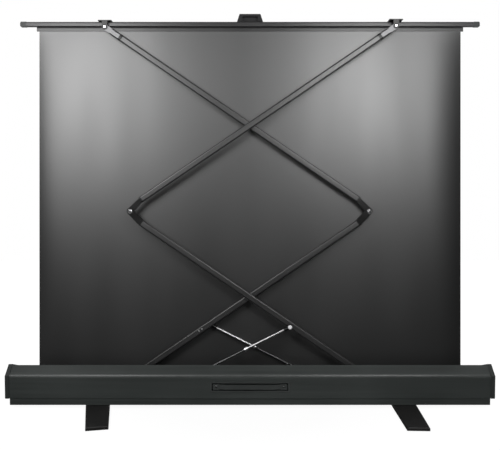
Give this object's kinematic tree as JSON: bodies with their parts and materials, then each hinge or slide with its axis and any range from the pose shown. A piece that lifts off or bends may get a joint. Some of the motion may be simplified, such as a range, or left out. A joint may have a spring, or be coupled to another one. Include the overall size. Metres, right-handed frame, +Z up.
{
  "type": "floor-standing projection screen",
  "caption": "Pull-up projection screen: cloth on a spring roller in a low floor case, raised by crossed folding arms with gas struts, on swivelling feet.",
  "frame": {"origin": "on the floor under the middle of the case", "axes": "+X along the case, -Y towards the back with the folding arms, +Z up"},
  "size_m": [1.9, 0.6228, 1.5588],
  "materials": {
    "case_paint": "satin black anodised extrusion",
    "cap_plastic": "moulded black plastic",
    "tray_plastic": "grained black plastic",
    "polished_metal": "polished",
    "zinc_steel": "zinc plated",
    "arm_metal": "grey satin anodised",
    "fitting_black": "glass-filled black nylon",
    "fitting_bright": "bright cast aluminium",
    "strut_paint": "black gas strut paint",
    "bar_metal": "dark anodised extrusion",
    "grip_plastic": "moulded black plastic",
    "screen_cloth": "black-backed white viewing cloth",
    "roller_metal": "mill finish",
    "foot_paint": "dark grey satin paint",
    "foot_rubber": "black rubber"
  },
  "bodies": {
    "case": {"case_shell": "case_paint", "end_cap_left": "cap_plastic", "end_cap_right": "cap_plastic", "bulkhead_left": "zinc_steel", "bulkhead_right": "zinc_steel", "handle_tray": "tray_plastic", "handle_strap": "tray_plastic", "handle_blocks": "tray_plastic", "rear_arm_bracket": "zinc_steel", "front_arm_bracket": "zinc_steel", "arm_pivot_pins": "polished_metal", "rear_strut_anchor": "zinc_steel", "front_strut_anchor": "zinc_steel", "screen_fabric": "screen_cloth", "roller_arbor": "zinc_steel", "foot_pivot_bolts": "zinc_steel", "lid_hinge_leaves": "zinc_steel"},
    "roller": {"roller_tube": "roller_metal", "fabric_roll": "screen_cloth", "roller_plugs": "grip_plastic", "roller_spring": "zinc_steel"},
    "left_foot": {"foot_left": "foot_paint", "foot_pads_left": "foot_rubber"},
    "right_foot": {"foot_right": "foot_paint", "foot_pads_right": "foot_rubber"},
    "lid": {"lid_panel": "case_paint", "lid_hinge_knuckles": "zinc_steel"},
    "top_bar": {"bar_rail": "bar_metal", "bar_end_caps": "cap_plastic", "fabric_clamp": "bar_metal", "rear_saddle": "fitting_black", "front_saddle": "fitting_black", "saddle_pins": "polished_metal", "pull_handle": "grip_plastic"},
    "rear_lower": {"rear_lower_arm": "arm_metal", "rear_lower_foot_end": "fitting_black", "rear_lower_elbow_fork": "fitting_black", "rear_ball_stud": "polished_metal", "rear_elbow_rivet": "polished_metal"},
    "rear_upper": {"rear_upper_arm": "arm_metal", "rear_upper_elbow_tongue": "fitting_black", "rear_upper_top_end": "fitting_bright"},
    "rear_strut": {"rear_strut_rod": "polished_metal", "rear_strut_socket": "fitting_black"},
    "rear_cylinder": {"rear_strut_cylinder": "strut_paint", "rear_strut_foot": "fitting_black"},
    "front_lower": {"front_lower_arm": "arm_metal", "front_lower_foot_end": "fitting_black", "front_lower_elbow_fork": "fitting_black", "front_ball_stud": "polished_metal", "front_elbow_rivet": "polished_metal"},
    "front_upper": {"front_upper_arm": "arm_metal", "front_upper_elbow_tongue": "fitting_black", "front_upper_top_end": "fitting_bright"},
    "front_strut": {"front_strut_rod": "polished_metal", "front_strut_socket": "fitting_black"},
    "front_cylinder": {"front_strut_cylinder": "strut_paint", "front_strut_foot": "fitting_black"}
  },
  "joints": [
    {"name": "screen_fold", "type": "hinge", "parent": "case", "child": "rear_lower", "pos_m": [0.58, -0.01, 0.032], "axis": [0, -1, 0], "range_deg": [0, 33.75], "deforming": ["screen_fabric"]},
    {"name": "front_fold", "type": "hinge", "parent": "case", "child": "front_lower", "pos_m": [-0.58, 0.005, 0.032], "axis": [0, 1, 0], "range_deg": [0, 33.75]},
    {"name": "rear_elbow", "type": "hinge", "parent": "rear_lower", "child": "rear_upper", "pos_m": [-0.47594, -0.01, 0.7679], "axis": [0, 1, 0], "range_deg": [0, 67.5]},
    {"name": "front_elbow", "type": "hinge", "parent": "front_lower", "child": "front_upper", "pos_m": [0.47594, 0.005, 0.7679], "axis": [0, -1, 0], "range_deg": [0, 67.5]},
    {"name": "top_pivot", "type": "hinge", "parent": "rear_upper", "child": "top_bar", "pos_m": [0.58, -0.01, 1.5038], "axis": [0, -1, 0], "range_deg": [0, 33.75]},
    {"name": "rear_strut_swing", "type": "hinge", "parent": "rear_lower", "child": "rear_strut", "pos_m": [0.15794, -0.025, 0.3103], "axis": [0, 1, 0], "range_deg": [0, 63.58]},
    {"name": "front_strut_swing", "type": "hinge", "parent": "front_lower", "child": "front_strut", "pos_m": [-0.15794, 0.02, 0.3103], "axis": [0, -1, 0], "range_deg": [0, 63.58]},
    {"name": "rear_strut_slide", "type": "slide", "parent": "rear_strut", "child": "rear_cylinder", "axis": [0.8942, 0, 0.4478], "range_m": [0, 0.1442]},
    {"name": "front_strut_slide", "type": "slide", "parent": "front_strut", "child": "front_cylinder", "axis": [-0.8942, 0, 0.4478], "range_m": [0, 0.1442]},
    {"name": "roller_turn", "type": "hinge", "parent": "case", "child": "roller", "pos_m": [0, 0.0472, 0.054], "axis": [1, 0, 0], "range_deg": [0, 4656]},
    {"name": "left_foot_swivel", "type": "hinge", "parent": "case", "child": "left_foot", "pos_m": [-0.606, 0, 0.008], "axis": [0, 0, 1], "range_deg": [-12.5, 77.5]},
    {"name": "right_foot_swivel", "type": "hinge", "parent": "case", "child": "right_foot", "pos_m": [0.606, 0, 0.008], "axis": [0, 0, -1], "range_deg": [-2.5, 87.5]},
    {"name": "lid_hinge", "type": "hinge", "parent": "case", "child": "lid", "pos_m": [0, 0.08, 0.131], "axis": [1, 0, 0], "range_deg": [0, 180]}
  ],
  "couplings": [
    {"joint": "front_fold", "follows": "screen_fold", "ratio": 1},
    {"joint": "rear_elbow", "follows": "screen_fold", "ratio": 2},
    {"joint": "front_elbow", "follows": "screen_fold", "ratio": 2},
    {"joint": "top_pivot", "follows": "screen_fold", "ratio": 1},
    {"joint": "rear_strut_swing", "follows": "screen_fold", "ratio": 1.8824},
    {"joint": "front_strut_swing", "follows": "screen_fold", "ratio": 1.8824},
    {"joint": "rear_strut_slide", "follows": "screen_fold", "m_per_rad": 0.24392},
    {"joint": "front_strut_slide", "follows": "screen_fold", "m_per_rad": 0.24392},
    {"joint": "roller_turn", "follows": "screen_fold", "ratio": 137.88}
  ]
}
